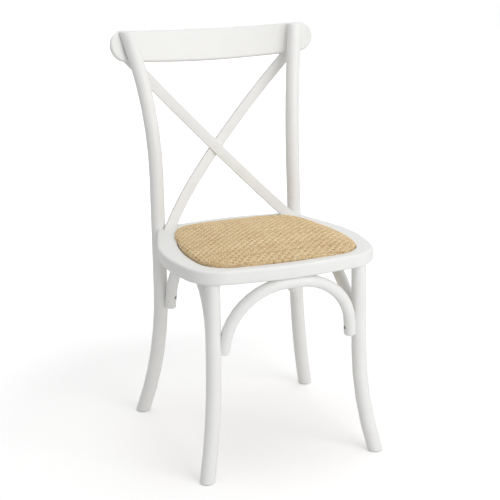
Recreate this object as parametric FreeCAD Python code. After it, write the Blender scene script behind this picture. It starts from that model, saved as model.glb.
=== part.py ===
import FreeCAD, Part
import math
import os

# Cross back chair, white painted bentwood with a drop-in rattan seat.
# Millimetres, +Z up, +Y towards the back, +X to the right as seen from the front.
# Plan positions are measured from the middle of the seat ring. At the end everything is
# shifted along Y, so that the origin is on the floor under the middle of the chair.

Vector = FreeCAD.Vector
UP = Vector(0, 0, 1)
RIGHT = Vector(1, 0, 0)

# Heights
HEIGHT = 885.0
SEAT_HEIGHT = 452.0
RING_THICKNESS = 29.0
GLIDE_HEIGHT = 3.0

# Fits
TOUCH = 0.01
GLUE_GAP = 0.1
PAD_GAP = 0.7
SOFT_GAP = 0.3

# Seat ring outline: guide corners of the right half, front to back, with the bend radius
RING_CORNERS = (
    (0.0, -206.5, 600.0),
    (200.0, -184.0, 85.0),
    (233.0, -12.0, 330.0),
    (168.0, 193.0, 60.0),
    (0.0, 217.0, 450.0),
)
RING_EDGE_BEVEL = 3.4
RING_EDGE_EASE = 1.2
RING_INNER_BEVEL = 1.0
RING_EDGE_ZONE = 15.0
FRONT_RAIL_LENGTH = 220.0
REAR_RAIL_LENGTH = 160.0
DOWEL_DIAMETER = 10.0
DOWEL_LENGTH = 40.0
DOWEL_SPACING = 17.0
DOWEL_HEIGHT = 9.5

# Drop-in seat: guide corners of the right half of its outline
PAD_CORNERS = (
    (0.0, -179.0, 600.0),
    (170.0, -165.0, 70.0),
    (188.0, -25.0, 400.0),
    (140.0, 155.0, 50.0),
    (0.0, 168.0, 450.0),
)
REBATE_DEPTH = 10.0
LEDGE_WIDTH = 42.0
PANEL_THICKNESS = 7.0
COVER_THICKNESS = 2.5
# Crown of the drop-in seat: height above the ring and how far the outline is drawn in
PAD_CROWN = (
    (0.0, 0.0),
    (8.0, 0.8),
    (11.2, 4.0),
    (13.4, 14.0),
    (16.4, 50.0),
    (19.0, 145.0),
)
PAD_FOOT_DRAW = 2.5
PAD_TURN_STEP = 12.0

# Rear legs, which run up as the back posts: guide points of the right one
POST_RADIUS = 16.0
POST_FOOT = (211.0, 220.5)
POST_KNEE = (170.4, 174.6, 157.0)
POST_SHOULDER = (164.6, 196.1, 724.0)
POST_TOP = (202.7, 258.7)
POST_BEND = 770.0
POST_TOP_BEVEL = 2.6
HOUSING_DEPTH = 5.0

# Front legs: guide points of the right one
LEG_RADIUS = 15.8
LEG_FOOT = (195.5, -187.5)
LEG_KNEE = (167.2, -160.3, 119.0)
LEG_TOP = (163.9, -158.1)
LEG_BEND = 758.0
TENON_DIAMETER = 22.0
TENON_LENGTH = 15.0
TENON_END_GAP = 1.5

# Arched braces under the seat
BRACE_RADIUS = 12.75
BRACE_FOOT_HEIGHT = 269.0
BRACE_LEAN_IN = 7.0
BRACE_TOP_FLAT = 1.2
BRACE_END_BEVEL = 1.6
FRONT_BRACE_BEND = 130.0
FRONT_BRACE_SET_IN = 21.5
FRONT_BRACE_REACH = 27.0
SIDE_BRACE_BEND = 142.0
SIDE_BRACE_REACH = -8.0
SIDE_BRACE_FRONT = (-3.8, 20.5)
SIDE_BRACE_REAR = (-16.0, -18.6)

# Crest rail: a bowed board with round ears, tilted back behind the posts
RAIL_LENGTH = 484.0
RAIL_HEIGHT = 73.0
RAIL_EAR_HEIGHT = 67.0
RAIL_THICKNESS = 16.0
RAIL_BOW = 700.0
RAIL_TILT = 17.5
RAIL_DROP = 29.5
RAIL_LAP = 2.6
RAIL_EDGE_BEVEL = 3.4
RAIL_CROWN_BEND = 6000.0
RAIL_EAR_FLAT = 0.5
RAIL_BLANK_REACH = 200.0

# Crossed laths, bent about their flat side
LATH_WIDTH = 25.0
LATH_THICKNESS = 9.5
LATH_TOP_X = 200.0
LATH_TOP_DROP = 58.0
LATH_HOUSING = 1.5
LATH_TAIL = 24.5
LATH_TENON = 9.0
LATH_FOOT_BESIDE_POST = 22.0
LATH_FOOT_BEFORE_POST = 17.2
LATH_STEP = 4.25
LATH_EDGE_BEVEL = 1.7
# Bends of a lath: distance from its foot or its top, camber behind the chord, radius
LATH_LOW_BEND = (68.0, 31.0, 380.0)
LATH_MIDDLE_BEND = (193.0, 45.5, 700.0)
LATH_HIGH_BEND = (118.0, 31.8, 900.0)

# Fasteners
SCREW_DIAMETER = 4.5
SCREW_HEAD = 9.0
SCREW_HEAD_HEIGHT = 3.0
SCREW_RECESS = 3.5
SCREW_RECESS_GAP = 0.5
BRACE_SCREW_LENGTH = 38.0
FRONT_BRACE_SCREW_RISE = 17.0
SIDE_BRACE_SCREW_RISE = 26.0
BRACE_TOP_SCREW_LENGTH = 34.0
CREST_SCREW_LENGTH = 26.0
CREST_SCREW_RISE = 15.0
LATH_SCREW_LENGTH = 14.0
LATH_SCREW_RISE = 8.0
SEAT_SCREW_LENGTH = 20.0
SEAT_SCREW_X = (60.0, 45.0)
BOLT_DIAMETER = 6.0
BOLT_HEAD = 10.0
BOLT_HEAD_HEIGHT = 4.0
BOLT_LENGTH = 70.0
BOLT_TURN = 156.0
BOLT_BELOW_RING_TOP = 17.5

# Foot glides
GLIDE_MARGIN = 1.5
GLIDE_BEVEL = 0.8
GLIDE_PIN = 3.0
GLIDE_PIN_LENGTH = 14.0

# A bent rod is made of straight runs that turn by one small step at a time; its seam is
# turned out of the plane of its bends
ROD_TURN_STEP = 10.0
SLENDER_TURN_STEP = 4.5
SEAM_TURN = 30.0
HEAD_SIDES = 12
SHANK_SIDES = 6
DOWEL_SIDES = 8
GLIDE_SIDES = 16

RING_BOTTOM = SEAT_HEIGHT - RING_THICKNESS
LEDGE_TOP = SEAT_HEIGHT - REBATE_DEPTH
FAR = 2000.0


def whole_outline(right_half):
    """Guide corners all round, from those of the right half."""
    left_half = [(-x, y, r) for x, y, r in reversed(right_half) if x > 0]
    return list(right_half) + left_half


def flat(corners):
    """Split guide corners (x, y, radius) into points in the XY plane and radii."""
    points = [Vector(x, y, 0) for x, y, _ in corners]
    return points, [r for _, _, r in corners]


def bend_at(before, corner, after, radius):
    """Tangent points and middle point of the arc that rounds one guide corner."""
    back = (before - corner).normalize()
    ahead = (after - corner).normalize()
    turn = math.pi - back.getAngle(ahead)
    reach = radius * math.tan(turn / 2)
    inward = (back + ahead).normalize()
    sagitta = radius / math.cos(turn / 2) - radius
    return corner + back * reach, corner + inward * sagitta, corner + ahead * reach


def bent_edges(points, radii):
    """Straight runs joined by tangent arcs, from an open row of guide points."""
    edges = []
    start = points[0]
    for index, radius in enumerate(radii, 1):
        first, middle, last = bend_at(points[index - 1], points[index], points[index + 1], radius)
        edges.append(Part.LineSegment(start, first).toShape())
        edges.append(Part.Arc(first, middle, last).toShape())
        start = last
    edges.append(Part.LineSegment(start, points[-1]).toShape())
    return edges


def bent_points(points, radii, step):
    """Guide points with every bend replaced by points on its arc, one turn step apart."""
    row = [points[0]]
    for index, radius in enumerate(radii, 1):
        before, corner, after = points[index - 1], points[index], points[index + 1]
        first, _, last = bend_at(before, corner, after, radius)
        back = (before - corner).normalize()
        ahead = (after - corner).normalize()
        turn = math.pi - back.getAngle(ahead)
        centre = corner + (back + ahead).normalize() * (radius / math.cos(turn / 2))
        axis = (first - centre).cross(last - centre)
        count = math.ceil(math.degrees(turn) / step)
        for number in range(count + 1):
            swing = FreeCAD.Rotation(axis, math.degrees(turn) * number / count)
            row.append(centre + swing.multVec(first - centre))
    return row + [points[-1]]


def closed_wire(points, radii):
    """A closed outline of runs and tangent arcs, with every guide corner rounded."""
    middle = (points[-1] + points[0]) * 0.5
    return Part.Wire(bent_edges([middle] + points + [middle], radii))


def shifted_guide(points, distance):
    """Open guide points in the XY plane moved to the left of their direction."""
    normals = []
    for first, second in zip(points, points[1:]):
        run = (second - first).normalize()
        normals.append(Vector(-run.y, run.x, 0))
    moved = [points[0] + normals[0] * distance]
    for corner, one, two in zip(points[1:], normals, normals[1:]):
        miter = (one + two).normalize()
        moved.append(corner + miter * (distance / miter.dot(one)))
    moved.append(points[-1] + normals[-1] * distance)
    return moved, normals


def strip(points, radii, thickness):
    """Flat face of one thickness that follows bent guide points in the XY plane."""
    sides = []
    for distance in (-thickness / 2, thickness / 2):
        moved, normals = shifted_guide(points, distance)
        bends = []
        for radius, one, two in zip(radii, normals, normals[1:]):
            left_turn = one.cross(two).z > 0
            bends.append(radius - distance if left_turn else radius + distance)
        sides.append((moved, bent_edges(moved, bends)))
    (low, low_edges), (high, high_edges) = sides
    caps = [Part.LineSegment(low[0], high[0]).toShape(), Part.LineSegment(low[-1], high[-1]).toShape()]
    wire = Part.Wire(Part.__sortEdges__(low_edges + high_edges + caps))
    return Part.Face(wire)


def inset_corners(corners, distance):
    """Closed convex guide corners moved inwards, with their radii made smaller alike."""
    points, radii = flat(corners)
    moved, _ = shifted_guide([points[-1]] + points + [points[0]], distance)
    return [(p.x, p.y, r - distance) for p, r in zip(moved[1:-1], radii)]


def slab(corners, low, high):
    """Upright prism on a rounded outline."""
    points, radii = flat(corners)
    face = Part.Face(closed_wire(points, radii))
    face.translate(UP * low)
    return face.extrude(UP * (high - low))


def block(x_low, x_high, y_low, y_high, z_low, z_high):
    """Box between two corners."""
    size = (x_high - x_low, y_high - y_low, z_high - z_low)
    return Part.makeBox(*size, Vector(x_low, y_low, z_low))


def rod(points, radii, radius, step):
    """Round bar along bent guide points, mitred at each step of a bend."""
    path = Part.makePolygon(bent_points(points, radii, step))
    ahead = points[1] - points[0]
    circle = Part.Circle(points[0], ahead, radius).toShape().rotated(points[0], ahead, SEAM_TURN)
    return path.makePipeShell([Part.Wire([circle])], True, False, 1)


def pin(start, direction, radius, length):
    """Cylinder from a point along a direction."""
    return Part.makeCylinder(radius, length, start, direction)


def prism(start, direction, radius, length, sides):
    """Many-sided pin from a point along a direction; its corners lie on the radius."""
    corners = []
    for number in range(sides + 1):
        turn = 2 * math.pi * number / sides
        corners.append(Vector(math.cos(turn) * radius, math.sin(turn) * radius, 0))
    body = Part.Face(Part.makePolygon(corners)).extrude(UP * length)
    body.Placement = FreeCAD.Placement(start, FreeCAD.Rotation(UP, direction))
    return body


def bevel_edges(solid, size, chosen, shortest=0.0):
    """Bevel the edges whose middle points pass the test, leaving out short ones."""
    edges = []
    for edge in solid.Edges:
        middle = edge.valueAt((edge.FirstParameter + edge.LastParameter) / 2)
        if edge.Length > shortest and chosen(middle):
            edges.append(edge)
    return solid.makeChamfer(size, edges)


def largest(shape):
    """The biggest solid left by a cut, without the shavings beside it."""
    return max(shape.Solids, key=lambda solid: solid.Volume)


def mirrored(solid):
    """The same piece on the other side of the chair."""
    return solid.mirror(Vector(0, 0, 0), RIGHT)


def point_at_height(points, height):
    """Point on the guide line of a leg at one height."""
    for low, high in zip(points, points[1:]):
        if height <= high.z or high is points[-1]:
            return low + (high - low) * ((height - low.z) / (high.z - low.z))


def line_past(points, index_from, index_to, distance):
    """End point lengthened along its own run."""
    run = (points[index_to] - points[index_from]).normalize()
    return points[index_to] + run * distance


def post_guide():
    """Guide points of the right rear leg and post."""
    return [
        Vector(*POST_FOOT, 0),
        Vector(*POST_KNEE),
        Vector(*POST_SHOULDER),
        Vector(*POST_TOP, HEIGHT),
    ]


def leg_guide():
    """Guide points of the right front leg."""
    return [Vector(*LEG_FOOT, 0), Vector(*LEG_KNEE), Vector(*LEG_TOP, RING_BOTTOM)]


def rear_post(growth=0.0):
    """Right rear leg and post: a round bar cut level at the glide and rounded at the top."""
    points = post_guide()
    points[0] = line_past(points, 1, 0, 3 * POST_RADIUS)
    points[-1] = line_past(points, -2, -1, 3 * POST_RADIUS)
    bar = rod(points, [POST_BEND, POST_BEND], POST_RADIUS + growth, SLENDER_TURN_STEP)
    bar = bar.common(block(-FAR, FAR, -FAR, FAR, GLIDE_HEIGHT, HEIGHT))
    return bevel_edges(bar, POST_TOP_BEVEL, lambda p: p.z > HEIGHT - TOUCH)


def housing_waste():
    """Part of the post beyond the flat that the ring's corner bears on."""
    centre = point_at_height(post_guide(), SEAT_HEIGHT)
    inward = Vector(*RING_CORNERS[4][:2], 0) - Vector(*RING_CORNERS[3][:2], 0)
    forward = Vector(*RING_CORNERS[2][:2], 0) - Vector(*RING_CORNERS[3][:2], 0)
    normal = (inward.normalize() + forward.normalize()).normalize()
    waste = block(POST_RADIUS - HOUSING_DEPTH, FAR, -FAR, FAR, 0, RING_THICKNESS)
    turn = math.degrees(math.atan2(normal.y, normal.x))
    waste.rotate(Vector(0, 0, 0), UP, turn)
    waste.translate(Vector(centre.x, centre.y, RING_BOTTOM))
    return waste


def front_leg():
    """Right front leg with its round tenon."""
    points = leg_guide()
    tenon_way = (points[2] - points[1]).normalize()
    top = points[2]
    points[0] = line_past(points, 1, 0, 3 * LEG_RADIUS)
    points[2] = line_past(points, 1, 2, LEG_RADIUS)
    bar = rod(points, [LEG_BEND], LEG_RADIUS, SLENDER_TURN_STEP)
    bar = bar.common(block(-FAR, FAR, -FAR, FAR, GLIDE_HEIGHT, RING_BOTTOM))
    root = top - tenon_way * LEG_RADIUS
    tenon = pin(root, tenon_way, TENON_DIAMETER / 2, TENON_LENGTH + LEG_RADIUS)
    return bar.fuse(tenon).removeSplitter()


def tenon_socket():
    """Blind hole in the ring for the right front leg's tenon."""
    points = leg_guide()
    way = (points[2] - points[1]).normalize()
    return pin(points[2] - way, way, TENON_DIAMETER / 2 + GLUE_GAP, TENON_LENGTH + TENON_END_GAP)


def seat_ring():
    """Whole seat ring: eased outline, rebate for the drop-in seat and open middle."""
    ring = slab(whole_outline(RING_CORNERS), RING_BOTTOM, SEAT_HEIGHT)
    rims = (RING_BOTTOM, SEAT_HEIGHT)
    ring = bevel_edges(ring, RING_EDGE_BEVEL, lambda p: min(abs(p.z - z) for z in rims) < TOUCH)
    eased = (SEAT_HEIGHT, SEAT_HEIGHT - RING_EDGE_BEVEL)
    ring = bevel_edges(ring, RING_EDGE_EASE, lambda p: min(abs(p.z - z) for z in eased) < TOUCH)
    pad = whole_outline(PAD_CORNERS)
    ring = ring.cut(slab(inset_corners(pad, -PAD_GAP), LEDGE_TOP, SEAT_HEIGHT + REBATE_DEPTH))
    within = slab(inset_corners(whole_outline(RING_CORNERS), RING_EDGE_ZONE), 0, FAR)

    def on_rim(point):
        return abs(point.z - SEAT_HEIGHT) < TOUCH and within.isInside(point, TOUCH, False)

    ring = bevel_edges(ring, RING_INNER_BEVEL, on_rim)
    return ring.cut(slab(inset_corners(pad, LEDGE_WIDTH), RING_BOTTOM - 1, SEAT_HEIGHT))


def ring_pieces(ring):
    """The ring cut into its four rails."""
    front = block(-FRONT_RAIL_LENGTH / 2, FRONT_RAIL_LENGTH / 2, -FAR, 0, 0, FAR)
    rear = block(-REAR_RAIL_LENGTH / 2, REAR_RAIL_LENGTH / 2, 0, FAR, 0, FAR)
    sides = ring.cut(front).cut(rear)
    return {
        "seat_front_rail": ring.common(front),
        "seat_rear_rail": ring.common(rear),
        "seat_left_rail": sides.common(block(-FAR, 0, -FAR, FAR, 0, FAR)),
        "seat_right_rail": sides.common(block(0, FAR, -FAR, FAR, 0, FAR)),
    }


def y_on_guide(corners, x):
    """Where the guide line between two corners crosses one x."""
    for (x0, y0, _), (x1, y1, _) in zip(corners, corners[1:]):
        if min(x0, x1) <= x <= max(x0, x1) and x0 != x1:
            return y0 + (y1 - y0) * (x - x0) / (x1 - x0)


def dowel_places():
    """Middles of the dowels on the right, two across each joint of the ring."""
    places = []
    spans = (
        (FRONT_RAIL_LENGTH / 2, RING_CORNERS[:2], PAD_CORNERS[:2], 1),
        (REAR_RAIL_LENGTH / 2, RING_CORNERS[3:], PAD_CORNERS[3:], -1),
    )
    for x, outer, inner, inward in spans:
        y = (y_on_guide(outer, x) + y_on_guide(inner, x) + inward * LEDGE_WIDTH) / 2
        for step in (-DOWEL_SPACING / 2, DOWEL_SPACING / 2):
            places.append(Vector(x, y + step, RING_BOTTOM + DOWEL_HEIGHT))
    return places


def dowels(gap=0.0):
    """Fluted dowels of the ring's joints, or with a gap the holes that they need."""
    pins = []
    radius = DOWEL_DIAMETER / 2 + gap
    length = DOWEL_LENGTH + 2 * gap
    for place in dowel_places():
        pins.append(prism(place - RIGHT * (length / 2), RIGHT, radius, length, DOWEL_SIDES))
    return pins + [mirrored(p) for p in pins]


def pad_section(draw, height):
    """Corners of the drop-in seat's outline drawn in by a distance, at one height."""
    corners = whole_outline(PAD_CORNERS)
    half_width = PAD_CORNERS[2][0]
    middle = (PAD_CORNERS[0][1] + PAD_CORNERS[-1][1]) / 2
    scale = 1 - draw / half_width
    scaled = [(x * scale, middle + (y - middle) * scale, r * scale) for x, y, r in corners]
    points, radii = flat(scaled)
    seam = (points[-1] + points[0]) * 0.5
    row = bent_points([seam] + points + [seam], radii, PAD_TURN_STEP)
    return [point + UP * height for point in row[:-1]]


def tapered(sections):
    """Solid with flat sides between like sections, one above the other."""
    faces = [Part.Face(Part.makePolygon(row + row[:1])) for row in (sections[0], sections[-1])]
    for low, high in zip(sections, sections[1:]):
        for number in range(len(low)):
            beside = number - 1
            corners = [low[beside], low[number], high[number], high[beside], low[beside]]
            faces.append(Part.Face(Part.makePolygon(corners)))
    return Part.Solid(Part.makeShell(faces))


def cushion(skin, bottom):
    """Crowned form with drawn-in sides, a skin's thickness inside the drop-in seat."""
    sections = [pad_section(PAD_FOOT_DRAW + skin, bottom)]
    for rise, draw in PAD_CROWN:
        sections.append(pad_section(draw + skin, SEAT_HEIGHT + rise - skin))
    return tapered(sections)


def drop_in_seat():
    """Plywood panel, foam and the woven cover that is wrapped over both."""
    foot = LEDGE_TOP + SOFT_GAP
    cover = cushion(0.0, foot).cut(cushion(COVER_THICKNESS, foot - 1))
    panel_draw = PAD_FOOT_DRAW + COVER_THICKNESS + SOFT_GAP
    panel_top = LEDGE_TOP + PANEL_THICKNESS
    panel = tapered([pad_section(panel_draw, height) for height in (LEDGE_TOP, panel_top)])
    foam = cushion(COVER_THICKNESS + SOFT_GAP, foot)
    foam = foam.cut(block(-FAR, FAR, -FAR, FAR, 0, panel_top + SOFT_GAP))
    return panel, foam, cover


def brace(first, last, outward, reach, bend):
    """Arched brace between two feet, leaning so that its top bears on the ring's underside."""
    run = (last - first).normalize()
    top_height = RING_BOTTOM - BRACE_RADIUS + BRACE_TOP_FLAT - first.z
    rise = UP * top_height + outward * reach
    inset = rise.Length * math.tan(math.radians(BRACE_LEAN_IN))
    points = [first, first + rise + run * inset, last + rise - run * inset, last]
    bar = rod(points, [bend, bend], BRACE_RADIUS, ROD_TURN_STEP)
    bar = bar.cut(block(-FAR, FAR, -FAR, FAR, RING_BOTTOM, FAR))
    ends = (first, last)
    near = BRACE_RADIUS + TOUCH
    return bevel_edges(bar, BRACE_END_BEVEL, lambda p: min(p.distanceToPoint(e) for e in ends) < near)


def side_brace_feet():
    """Foot centres of the right brace, front and rear."""
    front = point_at_height(leg_guide(), BRACE_FOOT_HEIGHT) + Vector(*SIDE_BRACE_FRONT, 0)
    rear = point_at_height(post_guide(), BRACE_FOOT_HEIGHT) + Vector(*SIDE_BRACE_REAR, 0)
    return front, rear


def right_brace():
    """Brace between the right legs."""
    front, rear = side_brace_feet()
    outward = (rear - front).cross(UP).normalize()
    return brace(front, rear, outward, SIDE_BRACE_REACH, SIDE_BRACE_BEND)


def front_brace_foot():
    """Right foot centre of the front brace."""
    return point_at_height(leg_guide(), BRACE_FOOT_HEIGHT) - RIGHT * FRONT_BRACE_SET_IN


def front_brace():
    """Brace between the front legs."""
    right = front_brace_foot()
    left = Vector(-right.x, right.y, right.z)
    return brace(left, right, Vector(0, -1, 0), FRONT_BRACE_REACH, FRONT_BRACE_BEND)


def rail_directions():
    """Upward and backward directions of the tilted crest rail."""
    tilt = math.radians(RAIL_TILT)
    up = Vector(0, math.sin(tilt), math.cos(tilt))
    back = Vector(0, math.cos(tilt), -math.sin(tilt))
    return up, back


def bow_at(x):
    """How far the rail's middle surface lies behind its ear tips at one x."""
    half = RAIL_LENGTH / 2
    return math.sqrt(RAIL_BOW ** 2 - x ** 2) - math.sqrt(RAIL_BOW ** 2 - half ** 2)


def rail_origin():
    """Point midway between the ear tips, so that the rail laps the posts' backs."""
    up, back = rail_directions()
    height = HEIGHT - RAIL_DROP
    post = point_at_height(post_guide(), height)
    away = POST_RADIUS - RAIL_LAP + RAIL_THICKNESS / 2 - bow_at(post.x)
    origin = Vector(0, post.y, post.z) + back * away
    return origin + up * ((height - origin.z) / up.z)


def rail_point(x, rise, depth):
    """Point of the rail by x, height along the board and depth behind its middle surface."""
    up, back = rail_directions()
    return rail_origin() + RIGHT * x + up * rise + back * (bow_at(x) + depth)


def crest_rail():
    """Bowed board: its outline cut from a bent strip, with bevelled edges."""
    up, back = rail_directions()
    origin = rail_origin()
    half = RAIL_LENGTH / 2
    ear = RAIL_EAR_HEIGHT / 2
    ear_round = ear - RAIL_EAR_FLAT
    middle = RAIL_HEIGHT / 2
    lower = ((0, -middle, RAIL_CROWN_BEND), (half, -ear, ear_round))
    upper = ((half, ear, ear_round), (0, middle, RAIL_CROWN_BEND))
    corners = whole_outline(lower + upper)
    points, radii = flat(corners)
    outline = closed_wire([RIGHT * p.x + up * p.y for p in points], radii)
    outline.translate(origin - back * RAIL_BLANK_REACH)
    board = Part.Face(outline).extrude(back * 2 * RAIL_BLANK_REACH)
    centre = origin - back * math.sqrt(RAIL_BOW ** 2 - half ** 2)
    foot = centre - up * RAIL_BLANK_REACH
    outer = pin(foot, up, RAIL_BOW + RAIL_THICKNESS / 2, 2 * RAIL_BLANK_REACH)
    inner = pin(foot, up, RAIL_BOW - RAIL_THICKNESS / 2, 2 * RAIL_BLANK_REACH)
    rail = board.common(outer).cut(inner)

    def on_face(point):
        from_axis = point - centre
        from_axis = from_axis - up * from_axis.dot(up)
        return abs(abs(from_axis.Length - RAIL_BOW) - RAIL_THICKNESS / 2) < 0.05

    return bevel_edges(rail, RAIL_EDGE_BEVEL, on_face)


def lath_ends():
    """Centre line ends of the lath from right foot to left top, where it meets ring and rail."""
    post = point_at_height(post_guide(), SEAT_HEIGHT)
    foot_y = post.y - LATH_FOOT_BEFORE_POST
    foot = Vector(post.x - LATH_FOOT_BESIDE_POST, foot_y, SEAT_HEIGHT)
    up, back = rail_directions()
    rise = (HEIGHT - LATH_TOP_DROP - rail_point(LATH_TOP_X, 0, 0).z) / up.z
    face = rail_point(LATH_TOP_X, rise, RAIL_THICKNESS / 2)
    top_y = face.y - LATH_HOUSING + LATH_THICKNESS / 2
    return foot, Vector(-LATH_TOP_X, top_y, HEIGHT - LATH_TOP_DROP)


def lath(step, growth=0.0):
    """Bent lath that rises from its right foot to the left end of the crest rail."""
    foot, top = lath_ends()
    way = Vector(top.x - foot.x, 0, top.z - foot.z)
    length = way.Length
    way.normalize()
    low, middle, high = LATH_LOW_BEND, LATH_MIDDLE_BEND, LATH_HIGH_BEND
    guide = [Vector(0, 0, 0)]
    for along, (_, camber, _) in ((low[0], low), (middle[0], middle), (length - high[0], high)):
        set_back = camber * (1 + step / middle[1])
        guide.append(Vector(along, (top.y - foot.y) * along / length + set_back, 0))
    guide.append(Vector(length, top.y - foot.y, 0))
    guide[0] = line_past(guide, 1, 0, 2 * LATH_THICKNESS + LATH_WIDTH)
    guide[-1] = line_past(guide, -2, -1, LATH_TAIL)
    radii = [low[2], middle[2], high[2]]
    face = strip(guide, radii, LATH_THICKNESS + 2 * growth)
    width = LATH_WIDTH + 2 * growth
    bar = face.extrude(UP * width)
    bar.translate(UP * (-width / 2))
    bar = bevel_edges(bar, LATH_EDGE_BEVEL, lambda p: abs(abs(p.z) - width / 2) < TOUCH, 2 * LATH_THICKNESS)
    across = way.cross(Vector(0, 1, 0))
    bar.Placement = FreeCAD.Placement(foot, FreeCAD.Rotation(way, Vector(0, 1, 0), across, "XYZ"))
    depth = LATH_TENON + growth
    return bar.cut(block(-FAR, FAR, -FAR, FAR, 0, SEAT_HEIGHT - depth))


def screw(start, direction, length):
    """Pan head screw: its head's flat top lies at the start point."""
    head = prism(start, direction, SCREW_HEAD / 2, SCREW_HEAD_HEIGHT, HEAD_SIDES)
    whole = SCREW_HEAD_HEIGHT + length
    shank = prism(start, direction, SCREW_DIAMETER / 2, whole, SHANK_SIDES)
    return head.fuse(shank).removeSplitter()


def screw_hole(start, direction, length):
    """Recess and pilot hole of a screw, open towards its driver."""
    mouth = start - direction * SCREW_HEAD
    head_radius = SCREW_HEAD / 2 + SCREW_RECESS_GAP
    head = prism(mouth, direction, head_radius, SCREW_HEAD + SCREW_HEAD_HEIGHT, HEAD_SIDES)
    depth = SCREW_HEAD_HEIGHT + length + GLUE_GAP
    shank = prism(start, direction, SCREW_DIAMETER / 2 + GLUE_GAP, depth, SHANK_SIDES)
    return head.fuse(shank)


def brace_end_screws():
    """Start points and directions of the screws in the braces' feet, right side."""
    places = []
    sunk = BRACE_RADIUS - SCREW_RECESS
    foot = front_brace_foot()
    lean = math.tan(math.radians(BRACE_LEAN_IN))
    rise = FRONT_BRACE_SCREW_RISE
    forward = FRONT_BRACE_REACH * rise / (RING_BOTTOM - BRACE_FOOT_HEIGHT)
    start = foot + Vector(-lean * rise - sunk, -forward, rise)
    places.append((start, RIGHT, BRACE_SCREW_LENGTH))
    front, rear = side_brace_feet()
    run = (rear - front).normalize()
    outward = run.cross(UP)
    rise = SIDE_BRACE_SCREW_RISE
    drift = outward * (SIDE_BRACE_REACH * rise / (RING_BOTTOM - BRACE_FOOT_HEIGHT)) + UP * rise
    for centre, offset, side in ((front, SIDE_BRACE_FRONT, 1), (rear, SIDE_BRACE_REAR, -1)):
        way = Vector(-offset[0], -offset[1], 0).normalize()
        middle = centre + drift + run * (lean * rise * side)
        places.append((middle - way * sunk, way, BRACE_SCREW_LENGTH))
    return places


def brace_top_screws():
    """Start points of the screws that go up through the braces' tops into the ring."""
    depth = RING_BOTTOM - 2 * BRACE_RADIUS + BRACE_TOP_FLAT + SCREW_RECESS
    foot = front_brace_foot()
    front, rear = side_brace_feet()
    outward = (rear - front).cross(UP).normalize()
    side = (front + rear) * 0.5 + outward * SIDE_BRACE_REACH
    right = Vector(side.x, side.y, depth)
    places = [Vector(0, foot.y - FRONT_BRACE_REACH, depth), right, Vector(-right.x, right.y, depth)]
    return [(place, UP, BRACE_TOP_SCREW_LENGTH) for place in places]


def crest_screws():
    """Screws through the crest rail into the backs of the posts, right side."""
    _, back = rail_directions()
    post = point_at_height(post_guide(), rail_point(0, CREST_SCREW_RISE, 0).z)
    start = rail_point(post.x, CREST_SCREW_RISE, RAIL_THICKNESS / 2 - SCREW_RECESS)
    return [(start, back * -1, CREST_SCREW_LENGTH)]


def lath_screws():
    """Screw through the top end of the lath that ends on the left."""
    foot, top = lath_ends()
    way = (top - foot).normalize()
    start = top + way * LATH_SCREW_RISE + Vector(0, LATH_THICKNESS / 2 - SCREW_HEAD_HEIGHT, 0)
    return [(start, Vector(0, -1, 0), LATH_SCREW_LENGTH)]


def seat_screws():
    """Screws from below through the ledge into the plywood, right side."""
    places = []
    for x, corners, inward in zip(SEAT_SCREW_X, (PAD_CORNERS[:2], PAD_CORNERS[3:]), (1, -1)):
        y = y_on_guide(corners, x) + inward * LEDGE_WIDTH / 2
        start = Vector(x, y, RING_BOTTOM + SCREW_RECESS - SCREW_HEAD_HEIGHT)
        places.append((start, UP, SEAT_SCREW_LENGTH))
    return places


def both_sides(places):
    """Screw places of the right side and their mirror images."""
    other = []
    for start, way, length in places:
        other.append((Vector(-start.x, start.y, start.z), Vector(-way.x, way.y, way.z), length))
    return places + other


def bolt_line():
    """Point on the right post's outside and direction of its bolt."""
    turn = math.radians(BOLT_TURN)
    way = Vector(math.cos(turn), -math.sin(turn), 0)
    centre = point_at_height(post_guide(), SEAT_HEIGHT - BOLT_BELOW_RING_TOP)
    return centre - way * (POST_RADIUS - BOLT_HEAD_HEIGHT / 2), way


def bolt(growth=0.0):
    """Bolt from the right post's outside into the ring, or with growth its hole."""
    start, way = bolt_line()
    back_off = BOLT_HEAD_HEIGHT if growth else 0.0
    head_length = BOLT_HEAD_HEIGHT + back_off
    head = prism(start - way * back_off, way, BOLT_HEAD / 2 + growth, head_length, HEAD_SIDES)
    whole = BOLT_HEAD_HEIGHT + BOLT_LENGTH + growth
    shank = prism(start, way, BOLT_DIAMETER / 2 + growth, whole, SHANK_SIDES)
    return head.fuse(shank).removeSplitter()


def glide(points, radius):
    """Foot glide with its pin, under one leg."""
    level = point_at_height(points, GLIDE_HEIGHT)
    foot = Vector(level.x, level.y, 0)
    disc = prism(foot, UP, radius - GLIDE_MARGIN, GLIDE_HEIGHT, GLIDE_SIDES)
    disc = bevel_edges(disc, GLIDE_BEVEL, lambda p: p.z < TOUCH)
    nail = prism(foot, UP, GLIDE_PIN / 2, GLIDE_HEIGHT + GLIDE_PIN_LENGTH, SHANK_SIDES)
    return disc.fuse(nail).removeSplitter()


def glide_hole(points):
    """Hole in a leg for its glide's pin."""
    level = point_at_height(points, GLIDE_HEIGHT)
    foot = Vector(level.x, level.y, 0)
    depth = GLIDE_HEIGHT + GLIDE_PIN_LENGTH + GLUE_GAP
    return prism(foot, UP, GLIDE_PIN / 2 + GLUE_GAP, depth, SHANK_SIDES)


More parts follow.
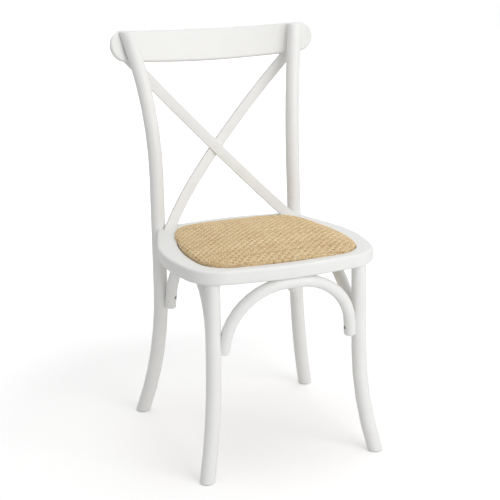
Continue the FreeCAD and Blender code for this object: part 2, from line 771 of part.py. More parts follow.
def build():
    """All sub-parts by name, each cut where its neighbours fit."""
    parts = {}
    rail = crest_rail()
    left_top_lath = lath(-LATH_STEP)
    right_top_lath = mirrored(lath(LATH_STEP)).cut(left_top_lath)
    mortises = [lath(-LATH_STEP, GLUE_GAP), mirrored(lath(LATH_STEP, GLUE_GAP))]
    leg = front_leg().cut(glide_hole(leg_guide()))
    whole_post = rear_post()
    post = largest(whole_post.cut(housing_waste()).cut(rail).cut(glide_hole(post_guide())))
    ring_notch = rear_post(GLUE_GAP).cut(housing_waste())
    side_brace = right_brace().cut(leg).cut(whole_post)
    arch = front_brace().cut(leg).cut(mirrored(leg))

    ends = both_sides(brace_end_screws())
    tops = brace_top_screws()
    crests = both_sides(crest_screws())
    lath_tops = both_sides(lath_screws())
    seats = both_sides(seat_screws())
    bolts = [bolt(), mirrored(bolt())]
    bolt_holes = [bolt(GLUE_GAP), mirrored(bolt(GLUE_GAP))]

    def holes(places):
        return [screw_hole(*place) for place in places]

    ring = seat_ring().cut([ring_notch, mirrored(ring_notch), tenon_socket(), mirrored(tenon_socket())])
    ring = ring.cut(mortises + dowels(GLUE_GAP) + bolt_holes + holes(tops + seats))
    parts.update(ring_pieces(ring))
    parts["seat_dowels"] = Part.makeCompound(dowels())
    panel, foam, cover = drop_in_seat()
    parts["seat_panel"] = panel.cut(holes(seats))
    parts["seat_foam"] = foam
    parts["rattan_cover"] = cover

    parts["right_front_leg"] = leg.cut(holes(ends))
    parts["left_front_leg"] = mirrored(leg).cut(holes(ends))
    parts["right_rear_post"] = post.cut(holes(ends + crests + lath_tops) + bolt_holes)
    parts["left_rear_post"] = mirrored(post).cut(holes(ends + crests + lath_tops) + bolt_holes)
    parts["right_brace"] = side_brace.cut(holes(ends + tops))
    parts["left_brace"] = mirrored(side_brace).cut(holes(ends + tops))
    parts["front_brace"] = arch.cut(holes(ends + tops))
    parts["crest_rail"] = rail.cut([left_top_lath, right_top_lath] + holes(crests + lath_tops))
    parts["front_cross_lath"] = left_top_lath.cut(holes(lath_tops))
    parts["back_cross_lath"] = right_top_lath.cut(holes(lath_tops))

    groups = {
        "brace_end_screws": ends,
        "brace_top_screws": tops,
        "crest_screws": crests,
        "lath_screws": lath_tops,
        "seat_screws": seats,
    }
    for name, places in groups.items():
        parts[name] = Part.makeCompound([screw(*place) for place in places])
    parts["post_bolts"] = Part.makeCompound(bolts)
    glides = [glide(leg_guide(), LEG_RADIUS), glide(post_guide(), POST_RADIUS)]
    parts["foot_glides"] = Part.makeCompound(glides + [mirrored(one) for one in glides])
    return parts


def main():
    """Build, centre over the origin and write one file per sub-part."""
    os.makedirs("parts", exist_ok=True)
    parts = build()
    box = FreeCAD.BoundBox()
    for shape in parts.values():
        box.add(shape.optimalBoundingBox(False))
    shift = Vector(0, -(box.YMin + box.YMax) / 2, 0)
    outline = (box.XLength, box.YLength, box.ZLength)
    print("outline", [round(length, 1) for length in outline], "shift", round(shift.y, 2))
    for name, shape in parts.items():
        shape.translate(shift)
        print(name, len(shape.Solids), round(shape.Volume), shape.isValid())
        shape.exportStep("parts/" + name + ".step")


main()
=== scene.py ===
import math

import bpy
import numpy as np
from mathutils import Matrix, Vector


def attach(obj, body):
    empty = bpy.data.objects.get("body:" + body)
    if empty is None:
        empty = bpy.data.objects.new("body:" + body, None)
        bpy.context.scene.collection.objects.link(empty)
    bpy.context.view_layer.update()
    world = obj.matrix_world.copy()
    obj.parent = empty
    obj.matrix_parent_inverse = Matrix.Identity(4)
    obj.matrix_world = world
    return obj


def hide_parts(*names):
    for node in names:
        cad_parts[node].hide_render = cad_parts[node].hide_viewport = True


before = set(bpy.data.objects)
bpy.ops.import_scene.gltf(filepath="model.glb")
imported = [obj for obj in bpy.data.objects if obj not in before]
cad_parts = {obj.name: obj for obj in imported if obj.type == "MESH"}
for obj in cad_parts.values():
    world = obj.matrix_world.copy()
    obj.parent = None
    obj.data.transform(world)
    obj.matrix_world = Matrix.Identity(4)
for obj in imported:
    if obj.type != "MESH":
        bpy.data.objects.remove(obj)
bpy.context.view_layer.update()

# White painted cross back chair with a woven rattan seat, standing on a plain pale floor.
# Metres, +Z up, +Y towards the back of the chair, +X to the right as seen from the front.

MM = 0.001

# The drop-in seat, in millimetres. Plan places are measured from the middle of the seat ring,
# which lies this far along Y from the middle of the chair.
SEAT_SHIFT = -54.64
SEAT_TOP = 452.0
SEAT_FOOT = 442.3
# guide corners of the right half of its outline, front to back, each with its bend radius
SEAT_CORNERS = ((0, -179, 600), (170, -165, 70), (188, -25, 400), (140, 155, 50), (0, 168, 450))
# its side seen in section: how far it is drawn in, and its height
SEAT_SECTION = (
    (2.5, SEAT_FOOT),
    (0.2, SEAT_TOP),
    (0.7, SEAT_TOP + 4.6),
    (3.6, SEAT_TOP + 7.6),
    (11.0, SEAT_TOP + 9.6),
    (36.0, SEAT_TOP + 12.8),
    (84.0, SEAT_TOP + 16.6),
    (145.0, SEAT_TOP + 18.6),
    (188.0, SEAT_TOP + 18.8),
)
SEAT_HALF_WIDTH = 188.0

# The pad under the weave: points around it, the part of its section that is its side, and how
# deep below a strand's top it lies, as a share of the strand's thickness
PAD_AROUND = 144
PAD_SIDE_WALK = 26.0
PAD_UNDER_STRAND = 0.7

# How a solid's facets are shaded: corners this near are one, and gentler turns look round
JOIN_DISTANCE = 0.02 * MM
SHARP_TURN = math.radians(50)

# The weave: bundles of three round rattan strands, over one bundle and under the next
STRANDS_IN_BUNDLE = 3
STRAND_PITCH = 2.9
STRAND_WIDTH = 2.6
STRAND_THICKNESS = 1.6
STRAND_WAVE = 0.95
WEAVE_HEM = 4.0
# the flat weave reaches this much further than the seat's half width before it is trimmed
WEAVE_REACH = 1.25
# an outer strand of a bundle rises this much of what the middle one does
OUTER_RISE = 0.78
# corners of a strand's section, in half widths and half thicknesses
STRAND_SECTION = ((1.0, -0.1), (0.5, 1.0), (-0.5, 1.0), (-1.0, -0.1))
# how unevenly it is woven: spread of each strand's place, drift per step, most drift, rise
PLACE_SPREAD = 0.1
DRIFT_STEP = 0.03
MOST_DRIFT = 0.25
RISE_SPREAD = 0.05
NARROWEST, WIDEST = 0.9, 1.03
MIDDLE_TONE, TONE_SPREAD = 0.5, 0.17


def rounded_outline(corners):
    """Closed outline: straight runs between guide corners, each corner rounded by the arc
    that touches both runs; twenty points to an arc."""
    whole = list(corners) + [(-x, y, r) for x, y, r in reversed(corners) if x > 0]
    points = np.array([c[:2] for c in whole], float)
    rows = []
    neighbours = zip(points, np.roll(points, 1, 0), np.roll(points, -1, 0), whole)
    for here, before, after, corner in neighbours:
        back = (before - here) / np.linalg.norm(before - here)
        ahead = (after - here) / np.linalg.norm(after - here)
        half = math.acos(np.clip(back @ ahead, -1, 1)) / 2
        inward = (back + ahead) / np.linalg.norm(back + ahead)
        centre = here + inward * corner[2] / math.sin(half)
        sweep = np.linspace(half - math.pi / 2, math.pi / 2 - half, 20)[:, None]
        across = np.array([-inward[1], inward[0]])
        side = np.sign(across @ ahead)
        rows.append(centre + corner[2] * (np.sin(sweep) * across * side - np.cos(sweep) * inward))
    return np.concatenate(rows)


def softened(points, times=3):
    """A row of points with its corners cut a quarter of the way along each run, some times
    over, so that it becomes a smooth curve with the same ends."""
    points = np.array(points, float)
    for _ in range(times):
        near = points[:-1] * 0.75 + points[1:] * 0.25
        far = points[:-1] * 0.25 + points[1:] * 0.75
        cut = np.stack([near, far], 1).reshape(-1, points.shape[1])
        points = np.concatenate([points[:1], cut, points[-1:]])
    return points


seat_outline = rounded_outline(SEAT_CORNERS)
seat_middle = (SEAT_CORNERS[0][1] + SEAT_CORNERS[-1][1]) / 2
outline_from_middle = seat_outline - [0, seat_middle]
outline_angle = np.arctan2(outline_from_middle[:, 1], outline_from_middle[:, 0])
outline_order = np.argsort(outline_angle)
outline_angle = outline_angle[outline_order]
outline_radius = np.linalg.norm(outline_from_middle, axis=1)[outline_order]
section = softened(SEAT_SECTION)
section_length = np.concatenate([[0], np.cumsum(np.linalg.norm(np.diff(section, axis=0), axis=1))])


def seat_radius(angle):
    """Distance from the seat's middle to its outline, by direction."""
    return np.interp(angle, outline_angle, outline_radius, period=2 * math.pi)


def seat_surface(u, v, sunk):
    """Point of the crowned seat under a flat cover laid over it and pressed down its sides.

    The cover's flat place (u, v) is measured from its middle. Its direction is kept; its
    distance, as a share of the outline's radius that way, is walked along the side section
    from the middle outwards, which gives the height and how far the outline is drawn in."""
    angle = np.arctan2(v, u)
    radius = seat_radius(angle)
    walked = section_length[-1] - SEAT_HALF_WIDTH * np.hypot(u, v) / radius
    walked = np.clip(walked, 0, section_length[-1])
    draw = np.interp(walked, section_length, section[:, 0])
    height = np.interp(walked, section_length, section[:, 1])
    out = radius * (1 - draw / SEAT_HALF_WIDTH)
    points = np.stack([out * np.cos(angle), seat_middle + out * np.sin(angle), height], -1)
    if sunk is None:
        return points
    step = 0.6
    along_u = seat_surface(u + step, v, None) - seat_surface(u - step, v, None)
    along_v = seat_surface(u, v + step, None) - seat_surface(u, v - step, None)
    normal = np.cross(along_u, along_v)
    normal /= np.linalg.norm(normal, axis=-1, keepdims=True)
    return points - normal * np.asarray(sunk)[..., None]


def mesh_piece(name, points, faces, smooth=True):
    """Mesh object at the origin from points in millimetres and faces of any corner counts."""
    mesh = bpy.data.meshes.new(name)
    counts = np.concatenate([np.full(len(f), f.shape[1]) for f in faces])
    corners = np.concatenate([f.ravel() for f in faces])
    mesh.vertices.add(len(points))
    mesh.vertices.foreach_set("co", (points * MM).astype(np.float32).ravel())
    mesh.loops.add(len(corners))
    mesh.loops.foreach_set("vertex_index", corners.astype(np.int32))
    mesh.polygons.add(len(counts))
    starts = np.concatenate([[0], np.cumsum(counts)[:-1]])
    mesh.polygons.foreach_set("loop_start", starts.astype(np.int32))
    mesh.polygons.foreach_set("use_smooth", np.full(len(counts), smooth))
    mesh.update(calc_edges=True)
    mesh.validate()
    piece = bpy.data.objects.new(name, mesh)
    bpy.context.scene.collection.objects.link(piece)
    return piece


def strands(name, lengthways, seed):
    """One layer of the weave, all strands that run one way.

    A strand is a four sided tube. Its middle line follows the seat's surface and waves in
    and out of it: out over one bundle of the other layer and in under the next. Each has
    its own slight width, sideways drift and tone."""
    rng = np.random.default_rng(seed)
    reach = SEAT_HALF_WIDTH * WEAVE_REACH
    half_count = int(reach / STRAND_PITCH)
    number = np.arange(-half_count, half_count + 1)
    bundle_number = np.floor((number + 1) / STRANDS_IN_BUNDLE)
    steps = np.arange(-half_count, half_count + 1)
    along = steps * STRAND_PITCH
    crossed = np.floor((steps + 1) / STRANDS_IN_BUNDLE)
    place = number * STRAND_PITCH + rng.normal(0, PLACE_SPREAD, len(number))
    width = STRAND_WIDTH * rng.uniform(NARROWEST, WIDEST, len(number))
    tone = np.clip(rng.normal(MIDDLE_TONE, TONE_SPREAD, len(number)), 0, 1)

    drift = np.cumsum(rng.normal(0, DRIFT_STEP, (len(number), len(steps))), 1)
    drift -= drift.mean(1, keepdims=True)
    line = place[:, None] + np.clip(drift, -MOST_DRIFT, MOST_DRIFT)
    within = (steps + 1) % STRANDS_IN_BUNDLE - 1
    rise = np.where(within == 0, 1.0, OUTER_RISE)
    parity = (bundle_number[:, None] + crossed[None, :]) % 2
    over = np.where(parity == 0, 1.0, -1.0) * (1 if lengthways else -1)
    wave = over * rise * STRAND_WAVE + rng.normal(0, RISE_SPREAD, (len(number), len(steps)))

    sides = np.array(STRAND_SECTION)
    if lengthways:
        sides = sides[::-1]
    across = line[..., None] + width[:, None, None] / 2 * sides[:, 0]
    forward = np.broadcast_to(along[None, :, None], across.shape)
    u, v = (across, forward) if lengthways else (forward, across)
    sunk = STRAND_THICKNESS / 2 + STRAND_WAVE - wave[..., None] - sides[:, 1] * STRAND_THICKNESS / 2
    points = seat_surface(u, v, sunk)

    gauge = np.hypot(u, v) / seat_radius(np.arctan2(v, u))
    furthest = (section_length[-1] - WEAVE_HEM) / SEAT_HALF_WIDTH
    inside = (gauge < furthest).all(2)
    run = inside[:, :-1] & inside[:, 1:]
    index = np.arange(points[..., 0].size).reshape(points.shape[:3])
    quads = []
    for one in range(len(sides)):
        two = (one + 1) % len(sides)
        near, far = index[:, :-1], index[:, 1:]
        quad = np.stack([near[..., one], near[..., two], far[..., two], far[..., one]], -1)
        quads.append(quad[run])
    quads = np.concatenate(quads)
    starts = np.pad(run, ((0, 0), (0, 1))) & ~np.pad(run, ((0, 0), (1, 0)))
    ends = ~np.pad(run, ((0, 0), (0, 1))) & np.pad(run, ((0, 0), (1, 0)))
    caps = np.concatenate([index[starts][:, ::-1], index[ends]])
    used = np.unique(np.concatenate([quads.ravel(), caps.ravel()]))
    renumber = np.zeros(index.size, int)
    renumber[used] = np.arange(len(used))
    placed = points.reshape(-1, 3)[used] + [0, SEAT_SHIFT, 0]
    piece = mesh_piece(name, placed, [renumber[quads], renumber[caps]])
    shade = np.broadcast_to(tone[:, None, None], across.shape).ravel()[used]
    reach_along = np.broadcast_to(forward, across.shape).ravel()[used] * MM
    reach_across = across.ravel()[used] * MM
    marks = {"strand_tone": shade, "strand_length": reach_along, "strand_place": reach_across}
    for label, values in marks.items():
        attribute = piece.data.attributes.new(label, "FLOAT", "POINT")
        attribute.data.foreach_set("value", values.astype(np.float32))
    return piece


def padded_seat():
    """Crowned pad under the weave, closed below: rings of points that walk from the foot of
    the seat's side to its middle, then the flat underside back from the middle to the foot."""
    turns = np.linspace(0, 2 * math.pi, PAD_AROUND, endpoint=False)
    side = np.linspace(0, PAD_SIDE_WALK, 12)
    crown = np.linspace(PAD_SIDE_WALK + 6, section_length[-1] - 6, 16)
    walk = np.concatenate([side, crown])
    share = (section_length[-1] - walk) / SEAT_HALF_WIDTH
    reach = share[:, None] * seat_radius(turns)[None, :]
    depth = 2 * STRAND_WAVE + STRAND_THICKNESS * PAD_UNDER_STRAND
    upper = seat_surface(reach * np.cos(turns), reach * np.sin(turns), np.full(reach.shape, depth))
    under = upper[0] * [0.5, 0.5, 1]
    under[:, 1] += seat_middle * 0.5
    rings = np.concatenate([under[None], upper])
    top = rings[-1].mean(0)
    bottom = rings[0].mean(0)
    count, around = rings.shape[:2]
    index = np.arange(count * around).reshape(count, around)
    beside = np.roll(index, -1, 1)
    quads = np.stack([index[:-1], beside[:-1], beside[1:], index[1:]], -1).reshape(-1, 4)
    upper_fan = np.stack([index[-1], beside[-1], np.full(around, count * around)], -1)
    lower_fan = np.stack([beside[0], index[0], np.full(around, count * around + 1)], -1)
    points = np.concatenate([rings.reshape(-1, 3), [top, bottom]]) + [0, SEAT_SHIFT, 0]
    return mesh_piece("seat_pad", points, [quads, np.concatenate([upper_fan, lower_fan])])


def linear(code):
    """sRGB hex colour as linear RGBA."""
    value = np.array([int(code[i : i + 2], 16) for i in (1, 3, 5)]) / 255
    value = np.where(value <= 0.04045, value / 12.92, ((value + 0.055) / 1.055) ** 2.4)
    return (*map(float, value), 1.0)


def add(tree, kind, links=None, values=None, **settings):
    """Adds a node: settings are its properties, values fill sockets, links join sockets."""
    node = tree.nodes.new(kind)
    for key, value in settings.items():
        setattr(node, key, value)
    for key, value in (values or {}).items():
        node.inputs[key].default_value = value
    for key, socket in (links or {}).items():
        tree.links.new(socket, node.inputs[key])
    return node


def material(name):
    """New material with its node tree, shader and nothing else."""
    made = bpy.data.materials.new(name)
    made.use_nodes = True
    tree = made.node_tree
    tree.nodes.clear()
    shader = add(tree, "ShaderNodeBsdfPrincipled")
    add(tree, "ShaderNodeOutputMaterial", {"Surface": shader.outputs[0]})
    return made, tree, shader


def blend_of(tree, share, stops):
    """Colour ramp over a share from 0 to 1, with its colours as (place, hex)."""
    ramp = add(tree, "ShaderNodeValToRGB", {"Fac": share})
    elements = ramp.color_ramp.elements
    while len(elements) < len(stops):
        elements.new(0.5)
    for element, (at, code) in zip(elements, stops):
        element.position = at
        element.color = linear(code)
    return ramp.outputs["Color"]


def spread(tree, share, low, high):
    """A pattern's middle range, 0.3 to 0.7, spread over another range."""
    ends = {"From Min": 0.3, "From Max": 0.7, "To Min": low, "To Max": high}
    return add(tree, "ShaderNodeMapRange", {"Value": share}, ends).outputs[0]


def painted_beech(name, grain_axis):
    """Satin white lacquer sprayed over bent beech. To the eye: a soft broad sheen, a hint of
    the beech's long pores under the film and the fine ripple that spraying leaves."""
    made, tree, shader = material(name)
    place = add(tree, "ShaderNodeTexCoord").outputs["Object"]
    # beech pores show as lines about 1.2 mm apart and 30 mm long
    line, length = 1 / (1.2 * MM), 1 / (30 * MM)
    stretch = [length if axis == grain_axis else line for axis in "XYZ"]
    laid = add(tree, "ShaderNodeMapping", {"Vector": place}, {"Scale": stretch})
    grain = {"Scale": 1.0, "Detail": 3.0, "Roughness": 0.6}
    pores = add(tree, "ShaderNodeTexNoise", {"Vector": laid.outputs[0]}, grain)
    # the film's thickness wanders over about 60 mm
    slow = {"Scale": 1 / (60 * MM), "Detail": 2.0}
    cloud = add(tree, "ShaderNodeTexNoise", {"Vector": place}, slow)
    # spray ripple, about 2 mm from crest to crest
    close = {"Scale": 1 / (2 * MM), "Detail": 1.0}
    ripple = add(tree, "ShaderNodeTexNoise", {"Vector": place}, close)
    both = {0: pores.outputs[0], 1: cloud.outputs[0]}
    mixed = add(tree, "ShaderNodeMath", both, operation="ADD")
    half = add(tree, "ShaderNodeMath", {0: mixed.outputs[0]}, {1: 0.5}, operation="MULTIPLY")
    tone = blend_of(tree, half.outputs[0], ((0.3, "#E7E7E5"), (0.5, "#EAEAE8"), (0.7, "#EDEDEB")))
    tree.links.new(tone, shader.inputs["Base Color"])
    tree.links.new(spread(tree, cloud.outputs[0], 0.36, 0.46), shader.inputs["Roughness"])
    sprayed = {"Strength": 0.12, "Distance": 0.1 * MM}
    fine = add(tree, "ShaderNodeBump", {"Height": ripple.outputs[0]}, sprayed)
    under = {"Height": pores.outputs[0], "Normal": fine.outputs[0]}
    deep = add(tree, "ShaderNodeBump", under, {"Strength": 0.3, "Distance": 0.06 * MM})
    tree.links.new(deep.outputs[0], shader.inputs["Normal"])
    shader.inputs["Specular IOR Level"].default_value = 0.45
    return made


def rattan_core():
    """Peeled rattan core, split from the vine and woven damp. To the eye: straw coloured,
    each strand its own tone, with fine darker fibres along it and a dull waxy gloss."""
    made, tree, shader = material("rattan_core")
    tone = add(tree, "ShaderNodeAttribute", attribute_name="strand_tone").outputs["Fac"]
    length = add(tree, "ShaderNodeAttribute", attribute_name="strand_length").outputs["Fac"]
    place = add(tree, "ShaderNodeAttribute", attribute_name="strand_place").outputs["Fac"]
    laid = add(tree, "ShaderNodeCombineXYZ", {"X": length, "Y": place, "Z": tone})
    # fibres are about 0.4 mm wide and 12 mm long
    fibre_scale = {"Scale": (1 / (12 * MM), 1 / (0.4 * MM), 40.0)}
    fibre_map = add(tree, "ShaderNodeMapping", {"Vector": laid.outputs[0]}, fibre_scale)
    fine = {"Scale": 1.0, "Detail": 3.0, "Roughness": 0.65}
    fibre = add(tree, "ShaderNodeTexNoise", {"Vector": fibre_map.outputs[0]}, fine)
    # the vine's colour changes slowly along a strand, over about 45 mm
    slow_scale = {"Scale": (1 / (45 * MM), 1 / (4 * MM), 25.0)}
    slow_map = add(tree, "ShaderNodeMapping", {"Vector": laid.outputs[0]}, slow_scale)
    coarse = {"Scale": 1.0, "Detail": 1.0}
    slow = add(tree, "ShaderNodeTexNoise", {"Vector": slow_map.outputs[0]}, coarse)
    first = add(tree, "ShaderNodeMath", {0: tone, 1: slow.outputs[0]}, operation="ADD")
    both = add(tree, "ShaderNodeMath", {0: first.outputs[0], 1: fibre.outputs[0]}, operation="ADD")
    third = add(tree, "ShaderNodeMath", {0: both.outputs[0]}, {1: 1 / 3}, operation="MULTIPLY")
    colour = blend_of(
        tree,
        third.outputs[0],
        ((0.25, "#AE8A58"), (0.42, "#D6B786"), (0.55, "#E8CFA3"), (0.72, "#F6E6C4")),
    )
    tree.links.new(colour, shader.inputs["Base Color"])
    tree.links.new(spread(tree, fibre.outputs[0], 0.45, 0.62), shader.inputs["Roughness"])
    depth = {"Strength": 0.5, "Distance": 0.15 * MM}
    raised = add(tree, "ShaderNodeBump", {"Height": fibre.outputs[0]}, depth)
    tree.links.new(raised.outputs[0], shader.inputs["Normal"])
    return made


def painted_shade_cloth():
    """Plain brown cloth sheet between pad and weave, its brown a painted shade. To the eye: the shade
    in the holes.
    """
    made, tree, shader = material("painted_shade_cloth")
    place = add(tree, "ShaderNodeTexCoord").outputs["Object"]
    # threads are about 0.8 mm apart
    fine = {"Scale": 1 / (0.8 * MM), "Detail": 2.0}
    thread = add(tree, "ShaderNodeTexNoise", {"Vector": place}, fine)
    # these dark browns are painted shade: the shade seen in the holes between strands
    colour = blend_of(tree, thread.outputs[0], ((0.3, "#6E5233"), (0.7, "#886A45")))
    tree.links.new(colour, shader.inputs["Base Color"])
    depth = {"Strength": 0.6, "Distance": 0.2 * MM}
    raised = add(tree, "ShaderNodeBump", {"Height": thread.outputs[0]}, depth)
    tree.links.new(raised.outputs[0], shader.inputs["Normal"])
    shader.inputs["Roughness"].default_value = 0.9
    return made


def birch_plywood():
    """Sanded birch plywood, unfinished. To the eye: pale yellow with long soft figure."""
    made, tree, shader = material("birch_plywood")
    place = add(tree, "ShaderNodeTexCoord").outputs["Object"]
    # figure is about 60 mm long and 3 mm wide, and each ply is 1.4 mm thick
    veneer = {"Scale": (1 / (60 * MM), 1 / (3 * MM), 1 / (1.4 * MM))}
    laid = add(tree, "ShaderNodeMapping", {"Vector": place}, veneer)
    soft = {"Scale": 1.0, "Detail": 4.0, "Roughness": 0.6}
    figure = add(tree, "ShaderNodeTexNoise", {"Vector": laid.outputs[0]}, soft)
    colour = blend_of(tree, figure.outputs[0], ((0.3, "#C49E6C"), (0.5, "#D6B688"), (0.7, "#E2C79D")))
    tree.links.new(colour, shader.inputs["Base Color"])
    depth = {"Strength": 0.3, "Distance": 0.1 * MM}
    raised = add(tree, "ShaderNodeBump", {"Height": figure.outputs[0]}, depth)
    tree.links.new(raised.outputs[0], shader.inputs["Normal"])
    shader.inputs["Roughness"].default_value = 0.7
    return made


def raw_beech():
    """Turned beech, unfinished, with the short dark flecks of its rays."""
    made, tree, shader = material("raw_beech")
    place = add(tree, "ShaderNodeTexCoord").outputs["Object"]
    # flecks are about 8 mm long and 1 mm wide
    rays = {"Scale": (1 / (8 * MM), 1 / (1 * MM), 1 / (1 * MM))}
    laid = add(tree, "ShaderNodeMapping", {"Vector": place}, rays)
    fleck = add(tree, "ShaderNodeTexNoise", {"Vector": laid.outputs[0]}, {"Scale": 1.0, "Detail": 3.0})
    colour = blend_of(tree, fleck.outputs[0], ((0.3, "#B98F63"), (0.7, "#D9B68C")))
    tree.links.new(colour, shader.inputs["Base Color"])
    shader.inputs["Roughness"].default_value = 0.65
    return made


def zinc_plated_steel():
    """Zinc plated steel of screws in deep recesses. To the eye: dark grey, the dark being painted
    shade of those recesses, with faint cloudy patches from the plating bath."""
    made, tree, shader = material("zinc_plated_steel")
    place = add(tree, "ShaderNodeTexCoord").outputs["Object"]
    # patches are about 3 mm across
    cloudy = {"Scale": 1 / (3 * MM), "Detail": 3.0}
    patch = add(tree, "ShaderNodeTexNoise", {"Vector": place}, cloudy)
    # dark greys: painted shade of the screws' deep recesses, with faint cloudy plating patches
    colour = blend_of(tree, patch.outputs[0], ((0.3, "#3C3D3F"), (0.7, "#5C5D5F")))
    tree.links.new(colour, shader.inputs["Base Color"])
    tree.links.new(spread(tree, patch.outputs[0], 0.4, 0.6), shader.inputs["Roughness"])
    shader.inputs["Metallic"].default_value = 1.0
    return made


def moulded_polyethylene():
    """Moulded white polyethylene foot glides. To the eye: milky, slightly scuffed below."""
    made, tree, shader = material("moulded_polyethylene")
    place = add(tree, "ShaderNodeTexCoord").outputs["Object"]
    # scuffs are about 1.5 mm across
    worn = {"Scale": 1 / (1.5 * MM), "Detail": 4.0, "Roughness": 0.7}
    scuff = add(tree, "ShaderNodeTexNoise", {"Vector": place}, worn)
    colour = blend_of(tree, scuff.outputs[0], ((0.35, "#D2D2CE"), (0.65, "#E0E0DC")))
    tree.links.new(colour, shader.inputs["Base Color"])
    tree.links.new(spread(tree, scuff.outputs[0], 0.4, 0.6), shader.inputs["Roughness"])
    shader.inputs["IOR"].default_value = 1.51
    return made


# The seat's soft pieces

def rounded_shading():
    """Node group that joins a solid's loose faces and shades them as one smooth skin, with a
    hard line kept only where the surface turns by more than SHARP_TURN."""
    group = bpy.data.node_groups.new("rounded_shading", "GeometryNodeTree")
    for direction in ("INPUT", "OUTPUT"):
        group.interface.new_socket("Geometry", in_out=direction, socket_type="NodeSocketGeometry")
    start = add(group, "NodeGroupInput")
    near = {"Distance": JOIN_DISTANCE}
    joined = add(group, "GeometryNodeMergeByDistance", {"Geometry": start.outputs[0]}, near)
    stored = {"Name": "custom_normal"}
    plain = add(group, "GeometryNodeRemoveAttribute", {"Geometry": joined.outputs[0]}, stored)
    faces = add(group, "GeometryNodeSetShadeSmooth", {"Geometry": plain.outputs[0]}, domain="FACE")
    turn = add(group, "GeometryNodeInputMeshEdgeAngle")
    limit = {1: SHARP_TURN}
    gentle = add(group, "FunctionNodeCompare", {0: turn.outputs[0]}, limit, operation="LESS_THAN")
    smoothed = {"Geometry": faces.outputs[0], "Shade Smooth": gentle.outputs[0]}
    edges = add(group, "GeometryNodeSetShadeSmooth", smoothed, domain="EDGE")
    add(group, "NodeGroupOutput", {"Geometry": edges.outputs[0]})
    return group


pad = padded_seat()
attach(pad, "root")
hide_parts("seat_foam")
# the pad's dark brown sheet is painted shade for the holes in the weave
pad.data.materials.append(painted_shade_cloth())

rattan = rattan_core()
lengthways = strands("rattan_lengthways", True, 3)
crossways = strands("rattan_crossways", False, 8)
for layer in (lengthways, crossways):
    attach(layer, "root")
    layer.data.materials.append(rattan)
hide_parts("rattan_cover")
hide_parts("rattan_cover")

upright = painted_beech("white_lacquer_upright_grain", "Z")
sideways = painted_beech("white_lacquer_cross_grain", "X")
fore_and_aft = painted_beech("white_lacquer_long_grain", "Y")
steel = zinc_plated_steel()
glide = moulded_polyethylene()
finishes = {
    "crest_rail": sideways,
    "left_rear_post": upright,
    "right_rear_post": upright,
    "front_cross_lath": upright,
    "back_cross_lath": upright,
    "left_front_leg": upright,
    "right_front_leg": upright,
    "front_brace": sideways,
    "left_brace": fore_and_aft,
    "right_brace": fore_and_aft,
    "seat_front_rail": sideways,
    "seat_rear_rail": sideways,
    "seat_left_rail": fore_and_aft,
    "seat_right_rail": fore_and_aft,
    "seat_panel": birch_plywood(),
    "seat_dowels": raw_beech(),
}
shading = rounded_shading()
for name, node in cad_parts.items():
    finish = finishes.get(name) or (glide if "glide" in name else steel)
    node.data.materials.clear()
    node.data.materials.append(finish)
    node.modifiers.new("rounded_shading", "NODES").node_group = shading
    weighted = node.modifiers.new("weighted_normals", "WEIGHTED_NORMAL")
    weighted.keep_sharp = True


def floor_paper():
    """Matt white paper floor that keeps the chair's shadow and meets the backdrop in white."""
    made, tree, shader = material("floor_paper")
    shader.inputs["Base Color"].default_value = linear("#F2F2F2")
    shader.inputs["Roughness"].default_value = 0.9
    shader.inputs["Specular IOR Level"].default_value = 0.1
    place = add(tree, "ShaderNodeTexCoord").outputs["Object"]
    away = add(tree, "ShaderNodeVectorMath", {0: place}, operation="LENGTH")
    # the glow that only the camera sees is faint near the chair and full further off, metres
    fade = {"From Min": 0.55, "From Max": 2.2, "To Min": 0.26, "To Max": 1.0}
    far = add(tree, "ShaderNodeMapRange", {"Value": away.outputs["Value"]}, fade)
    path = add(tree, "ShaderNodeLightPath")
    seen = {0: path.outputs["Is Camera Ray"], 1: far.outputs[0]}
    glow = add(tree, "ShaderNodeMath", seen, operation="MULTIPLY")
    shader.inputs["Emission Color"].default_value = (1, 1, 1, 1)
    tree.links.new(glow.outputs[0], shader.inputs["Emission Strength"])
    return made


def floor_disc(radius, height):
    """Flat round floor: a fan of triangles about the middle."""
    around = 96
    turns = np.linspace(0, 2 * math.pi, around, endpoint=False)
    rim = np.stack([np.cos(turns) * radius, np.sin(turns) * radius, np.full(around, height)], -1)
    points = np.concatenate([rim, [[0, 0, height]]])
    number = np.arange(around)
    fan = np.stack([number, np.roll(number, -1), np.full(around, around)], -1)
    return mesh_piece("floor", points, [fan], smooth=False)


FLOOR_RADIUS = 9000
FLOOR_HEIGHT = -0.2
floor = floor_disc(FLOOR_RADIUS, FLOOR_HEIGHT)
floor.data.materials.append(floor_paper())

world = bpy.data.worlds.new("pale_room")
bpy.context.scene.world = world
world.use_nodes = True
sky = world.node_tree
sky.nodes.clear()
seen = add(sky, "ShaderNodeLightPath")
direct = {0: seen.outputs["Is Camera Ray"], 1: seen.outputs["Is Glossy Ray"]}
either = add(sky, "ShaderNodeMath", direct, operation="MAXIMUM")
through = {0: either.outputs[0], 1: seen.outputs["Is Transmission Ray"]}
any_seen = add(sky, "ShaderNodeMath", through, operation="MAXIMUM")
# the room gives about half of the light, and looks white itself
ROOM_LIGHT = 0.52
levels = {"To Min": ROOM_LIGHT, "To Max": 1.0}
level = add(sky, "ShaderNodeMapRange", {"Value": any_seen.outputs[0]}, levels)
white = add(sky, "ShaderNodeBackground", {"Strength": level.outputs[0]}, {"Color": (1, 1, 1, 1)})
add(sky, "ShaderNodeOutputWorld", {"Surface": white.outputs[0]})


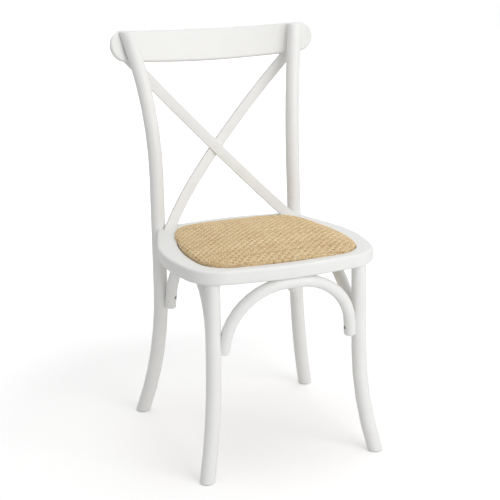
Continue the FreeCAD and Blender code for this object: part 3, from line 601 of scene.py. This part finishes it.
def soft_box(name, place, aim, size, power):
    """Square lamp that faces a point."""
    lamp = bpy.data.lights.new(name, "AREA")
    lamp.shape = "SQUARE"
    lamp.size = size
    lamp.energy = power
    holder = bpy.data.objects.new(name, lamp)
    holder.location = place
    holder.rotation_euler = (Vector(aim) - Vector(place)).to_track_quat("-Z", "Y").to_euler()
    bpy.context.scene.collection.objects.link(holder)


# lamps face the seat; places and sizes in metres, powers in watts
SEAT = (0, 0, 0.45)
soft_box("key_light", (1.2, -2.9, 1.7), SEAT, 2.6, 51)
soft_box("top_light", (0.3, 0.2, 3.2), SEAT, 2.4, 24)

# The camera, as fitted to the picture: turned to the chair's left, a little from above
IMAGE_SIZE = 500
FOCAL_PIXELS = 1173.0
PICTURE_MIDDLE = (251.7, 246.1)

AZIMUTH, ELEVATION, ROLL = map(math.radians, (-21.70, 16.16, -0.73))
DISTANCE = 2.540
TARGET = Vector((-0.0152, SEAT_SHIFT * MM, 0.4396))
level_back = Vector((math.sin(AZIMUTH), -math.cos(AZIMUTH), 0))
back = level_back * math.cos(ELEVATION) + Vector((0, 0, math.sin(ELEVATION)))
level_right = Vector((math.cos(AZIMUTH), math.sin(AZIMUTH), 0))
level_up = back.cross(level_right)
right = level_right * math.cos(ROLL) + level_up * math.sin(ROLL)
up = level_up * math.cos(ROLL) - level_right * math.sin(ROLL)
eye = TARGET + back * DISTANCE
lens = bpy.data.cameras.new("camera")
lens.sensor_width = 36.0
lens.lens = FOCAL_PIXELS * lens.sensor_width / IMAGE_SIZE
lens.shift_x = (IMAGE_SIZE / 2 - PICTURE_MIDDLE[0]) / IMAGE_SIZE
lens.shift_y = (PICTURE_MIDDLE[1] - IMAGE_SIZE / 2) / IMAGE_SIZE
camera = bpy.data.objects.new("camera", lens)
bpy.context.scene.collection.objects.link(camera)
axes = [[right[i], up[i], back[i], eye[i]] for i in range(3)]
camera.matrix_world = Matrix(axes + [[0, 0, 0, 1]])
bpy.context.scene.camera = camera
bpy.context.scene.view_settings.view_transform = "Standard"
